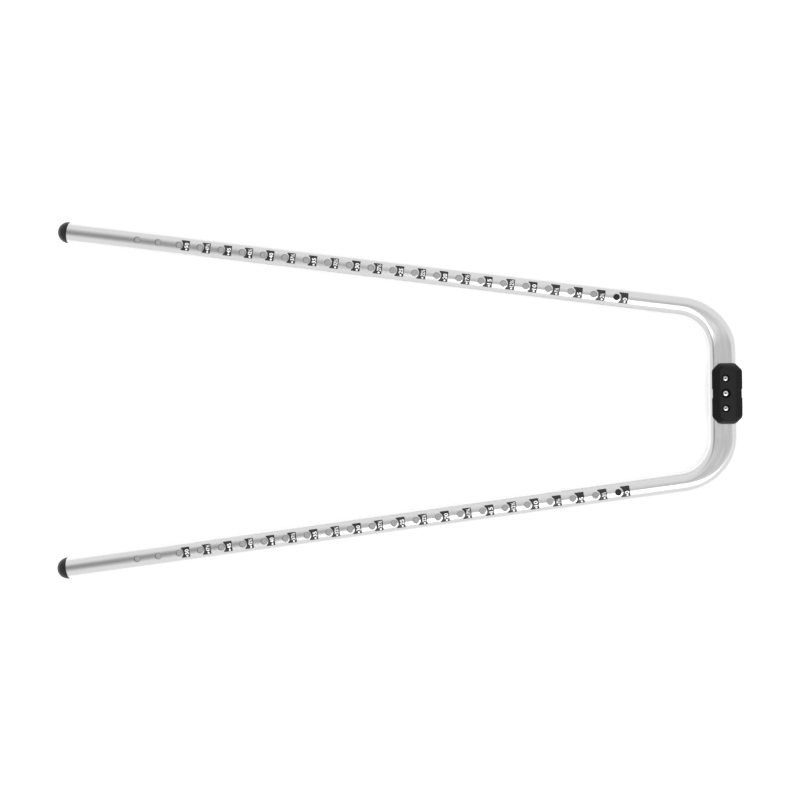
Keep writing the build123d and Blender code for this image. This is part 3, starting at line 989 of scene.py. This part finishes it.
class BOOMTAIL_OT_sheaves(BoomTailOperator, bpy.types.Operator):
    """Model the grooved sheaves"""

    bl_idname = "boomtail.sheaves"
    bl_label = "Sheaves"

    def make(self, sizes, finish):
        radius, half, bore, root, groove = 10.8, 2.8, 3.06, 7.0, 2.2
        face = [(bore, half - 0.2), (bore + 0.2, half), (5.6, half), (5.9, half - 0.35)]
        face += [(8.6, half - 0.35), (8.9, half), (radius - 0.3, half)]
        profile = face + arc((radius - 0.25, half - 0.3), 0.25, 90, 0, 4)
        profile += arc((root + groove, 0), groove, 90, 270, 20)
        profile += arc((radius - 0.25, 0.3 - half), 0.25, 0, -90, 4)
        profile += [(r, -z) for r, z in reversed(face)] + face[:1]
        wheel = lathe("wheel", profile)
        for i in range(sizes.wheel_holes):
            turn = 2 * pi * i / sizes.wheel_holes
            across = (bore + root) / 2 * MM
            x, y = across * cos(turn), across * sin(turn)
            combine(wheel, cylinder("drain", 0.9 * MM, x, y, -5 * MM, 5 * MM, 32))
        for name in SIDES:
            node_name = f"sheave_{name}"
            low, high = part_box(node_name)
            place = Matrix.Translation((low + high) / 2)
            made = copy_to(wheel, place, f"wheel_{name}")
            finish_piece(made, finish["acetal"], body=f"{name}_sheave", nodes=[node_name])
        bpy.data.objects.remove(wheel)


class BOOMTAIL_OT_screws(BoomTailOperator, bpy.types.Operator):
    """Model the cross-recessed pan head screws"""

    bl_idname = "boomtail.screws"
    bl_label = "Screws"

    def make(self, sizes, finish):
        head, height, crown, round_r, shank, end = 3.2, 2.3, 0.35, 0.9, 2.0, -21.7
        top = SCREW_SEAT + height
        profile = [(0, top), (head * 0.35, top - 0.04), (head * 0.6, top - 0.17)]
        profile += arc((head - round_r, top - crown - round_r), round_r, 80, 0, 10)
        profile += [(head, SCREW_SEAT + 0.15), (head - 0.15, SCREW_SEAT), (shank, SCREW_SEAT)]
        thread_top, pitch, depth = -8.0, 0.7, 0.3
        turns = int((thread_top - end - 1) / pitch)
        for i in range(turns):
            z = thread_top - i * pitch
            profile += [(shank, z), (shank - depth, z - pitch / 2)]
        profile += [(shank, thread_top - turns * pitch), (shank - 0.5, end), (0, end)]
        screw = lathe("screw", profile)
        for turn in (pi / 4, -pi / 4):
            combine(screw, self.recess(top, turn))
        for name, y in SCREWS.items():
            made = copy_to(screw, Matrix.Translation((SCREW_X, y, AXIS.z)), f"pan_head_screw_{name}")
            finish_piece(made, finish["steel"], nodes=[f"screw_{name}"], angle=40)
            self.line_recess(made.data, finish["grime"], AXIS.z + top * MM, y)
        bpy.data.objects.remove(screw)

    def line_recess(self, mesh, grime, top, y):
        """Gives the inside of the cross recess its own finish, painted dark as shade."""
        reach, depth, rim = 1.9 * MM, 2 * MM, 0.5 * MM
        mesh.materials.append(grime)
        for face in mesh.polygons:
            across = Vector((face.center.x - SCREW_X, face.center.y - y)).length
            inside = across < reach and face.center.z > top - depth
            if inside and (face.normal.z < 0.7 or face.center.z < top - rim):
                face.material_index = 1

    def recess(self, top, turn):
        """One arm of the cross, narrower at the bottom."""
        size, middle = (3.3 * MM, 1.15 * MM, 3.4 * MM), (0, 0, top * MM)
        tool = begin("recess", bpy.ops.mesh.primitive_cube_add, size=1, location=middle, scale=size)
        choose(tool, "FACE", lambda f: f.normal.z < -0.9)
        bpy.ops.transform.resize(value=(0.5, 0.75, 1), center_override=middle)
        done(tool)
        tool.data.transform(Matrix.Rotation(turn, 4, "Z"))
        return tool


class BOOMTAIL_OT_lock_nuts(BoomTailOperator, bpy.types.Operator):
    """Model the lock nuts and their inserts"""

    bl_idname = "boomtail.lock_nuts"
    bl_label = "Lock nuts"

    def make(self, sizes, finish):
        half_flats, height, bore, seat = 3.5, 3.2, 2.05, 2.7
        nut = hexagon("nut", half_flats * MM, height * MM, (0, 0, height / 2 * MM))
        crown = [(0, 0), (2.9, 0), (3.0, 0.5), (3.5, 0.55), (4.2, 1.0), (4.2, 2.75)]
        combine(nut, lathe("crown", crown + [(half_flats, height), (0, height)]), "INTERSECT")
        combine(nut, cylinder("bore", bore * MM, 0, 0, -MM, 6 * MM, 64))
        combine(nut, cylinder("insert_seat", seat * MM, 0, 0, -MM, 0.9 * MM, 64))
        inner, outer, low, high = 2.02, 2.65, 0.15, 0.88
        insert = lathe("insert", [(inner, low), (outer, low), (outer, high), (inner, high), (inner, low)])
        for name in SCREWS:
            low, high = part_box(f"lock_nut_{name}")
            place = Matrix.Translation(((low.x + high.x) / 2, (low.y + high.y) / 2, low.z))
            made = copy_to(nut, place, f"hex_nut_{name}")
            finish_piece(made, finish["steel"], nodes=[f"lock_nut_{name}"])
            ring = copy_to(insert, place, f"nut_insert_{name}")
            finish_piece(ring, finish["washer"])
        for piece in (nut, insert):
            bpy.data.objects.remove(piece)


class BOOMTAIL_OT_inner_pieces(BoomTailOperator, bpy.types.Operator):
    """Finish the sleeves, washers, pads and bungs, whose shapes are already right"""

    bl_idname = "boomtail.inner_pieces"
    bl_label = "Inner pieces"

    def make(self, sizes, finish):
        kinds = {
            "axle_sleeve": "steel",
            "crush_sleeve": "steel",
            "upper_washer": "washer",
            "lower_washer": "washer",
            "foam_bung": "foam",
        }
        dressed = {"top_pad": "rubber", "bottom_pad": "rubber"}
        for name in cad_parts:
            for kind, look in kinds.items():
                if name.startswith(kind):
                    dressed[name] = look
        for name, look in dressed.items():
            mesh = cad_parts[name].data
            mesh.materials.clear()
            mesh.materials.append(finish[look])


class BOOMTAIL_OT_stage(BoomTailOperator, bpy.types.Operator):
    """Lay the floor, hang the lights and set the camera"""

    bl_idname = "boomtail.stage"
    bl_label = "Studio"

    def make(self, sizes, finish):
        self.floor()
        self.sky()
        self.lights()
        self.camera()
        bpy.context.scene.view_settings.view_transform = "Standard"

    def floor(self):
        """A plain white sweep."""
        made, tree, shader = material("white_sweep")
        rgba = bpy.context.scene.boom_tail_colours.floor
        feed(tree, shader, {"Base Color": shade(rgba, 0.85), "Roughness": 0.9, "Specular IOR Level": 0.2})
        feed(tree, shader, {"Emission Color": rgba, "Emission Strength": 0.2})
        bpy.ops.object.select_all(action="DESELECT")
        bpy.ops.mesh.primitive_circle_add(vertices=96, radius=9, fill_type="NGON")
        floor = bpy.context.object
        floor.name = "floor"
        floor.data.materials.append(made)

    def sky(self):
        """A white tent with two dim openings overhead: a wide one towards the tips, and a small one
        nearly straight up."""
        # An opening's middle and reach are slopes from straight up, in x and y; then how far it dims.
        openings = (
            ((-0.42, 0.0), (0.5, 1.1), 0.8),
            ((0.15, 0.0), (0.34, 0.5), 0.55),
        )
        world = bpy.data.worlds.new("tent")
        world.use_nodes = True
        bpy.context.scene.world = world
        tree = world.node_tree
        look = node(tree, "ShaderNodeTexCoord").outputs["Generated"]
        axes = node(tree, "ShaderNodeSeparateXYZ", {0: look}).outputs
        up = node(tree, "ShaderNodeMath", {0: axes["Z"], 1: 0.02}, operation="MAXIMUM")
        slope_x = node(tree, "ShaderNodeMath", {0: axes["X"], 1: up}, operation="DIVIDE")
        slope_y = node(tree, "ShaderNodeMath", {0: axes["Y"], 1: up}, operation="DIVIDE")
        flat = node(tree, "ShaderNodeCombineXYZ", {0: slope_x, 1: slope_y, 2: 0.0})
        light = 1.09  # where no opening dims it
        for middle, reach, depth in openings:
            laid = {"Vector": flat, "Location": (*middle, 0), "Scale": (*reach, 1)}
            place = node(tree, "ShaderNodeMapping", laid, vector_type="TEXTURE")
            away = node(tree, "ShaderNodeVectorMath", {0: place}, operation="LENGTH").outputs["Value"]
            fade = {"Value": away, "To Min": depth, "To Max": 0.0}
            dim = node(tree, "ShaderNodeMapRange", fade, interpolation_type="SMOOTHSTEP")
            light = node(tree, "ShaderNodeMath", {0: light, 1: dim}, operation="SUBTRACT")
        feed(tree, tree.nodes["Background"], {"Color": light})

    def lights(self):
        """A softbox beside the camera on the right arm's side, over the bend, and a wide fill above that
        the shiny parts don't mirror."""
        self.softbox("softbox", place=(0.85, -1.65, 3.0), size=(2.6, 2.2), glow=2.3)
        fill = self.softbox("fill", place=(0, 0, 3.2), size=(5, 5), glow=0.9)
        fill.visible_glossy = False

    def softbox(self, name, place, size, glow):
        """A rectangular light that faces straight down and looks equally bright at any size."""
        data = bpy.data.lights.new(name, "AREA")
        data.shape = "RECTANGLE"
        data.size, data.size_y = size
        data.energy = glow * pi * size[0] * size[1]
        lamp = bpy.data.objects.new(name, data)
        lamp.location = place
        lamp.rotation_euler = Vector((0, 0, -1)).to_track_quat("-Z", "Y").to_euler()
        bpy.context.scene.collection.objects.link(lamp)
        return lamp

    def camera(self):
        """Looks almost straight down, from over the bend's end of the part."""
        data = bpy.data.cameras.new("camera")
        data.sensor_width, data.lens = 36, 58.5
        camera = bpy.data.objects.new("camera", data)
        camera.location = AXIS + Vector((-164.6, -42.19, 1453.44)) * MM
        camera.rotation_euler = (radians(1.466), radians(7.493), radians(-0.302))
        bpy.context.scene.collection.objects.link(camera)
        bpy.context.scene.camera = camera


class BOOMTAIL_PT_panel(bpy.types.Panel):
    """Lists the pieces in the order in which they are made"""

    bl_idname = "BOOMTAIL_PT_panel"
    bl_label = "Boom tail"
    bl_space_type = "VIEW_3D"
    bl_region_type = "UI"
    bl_category = "Boom tail"

    def draw(self, context):
        for operator in OPERATORS:
            self.layout.operator(operator.bl_idname)
        for group in (context.scene.boom_tail_sizes, context.scene.boom_tail_colours):
            for name in group.__annotations__:
                self.layout.prop(group, name)


OPERATORS = (
    BOOMTAIL_OT_tube,
    BOOMTAIL_OT_scale,
    BOOMTAIL_OT_end_plugs,
    BOOMTAIL_OT_saddle,
    BOOMTAIL_OT_housing,
    BOOMTAIL_OT_sheaves,
    BOOMTAIL_OT_screws,
    BOOMTAIL_OT_lock_nuts,
    BOOMTAIL_OT_inner_pieces,
    BOOMTAIL_OT_stage,
)
CLASSES = (BoomTailSizes, BoomTailColours, *OPERATORS, BOOMTAIL_PT_panel)


def register():
    for kind in CLASSES:
        bpy.utils.register_class(kind)
    bpy.types.Scene.boom_tail_sizes = PointerProperty(type=BoomTailSizes)
    bpy.types.Scene.boom_tail_colours = PointerProperty(type=BoomTailColours)


def unregister():
    del bpy.types.Scene.boom_tail_colours
    del bpy.types.Scene.boom_tail_sizes
    for kind in reversed(CLASSES):
        bpy.utils.unregister_class(kind)


def main():
    register()
    bpy.ops.boomtail.tube()
    bpy.ops.boomtail.scale()
    bpy.ops.boomtail.end_plugs()
    bpy.ops.boomtail.saddle()
    bpy.ops.boomtail.housing()
    bpy.ops.boomtail.sheaves()
    bpy.ops.boomtail.screws()
    bpy.ops.boomtail.lock_nuts()
    bpy.ops.boomtail.inner_pieces()
    bpy.ops.boomtail.stage()


if __name__ == "__main__":
    main()
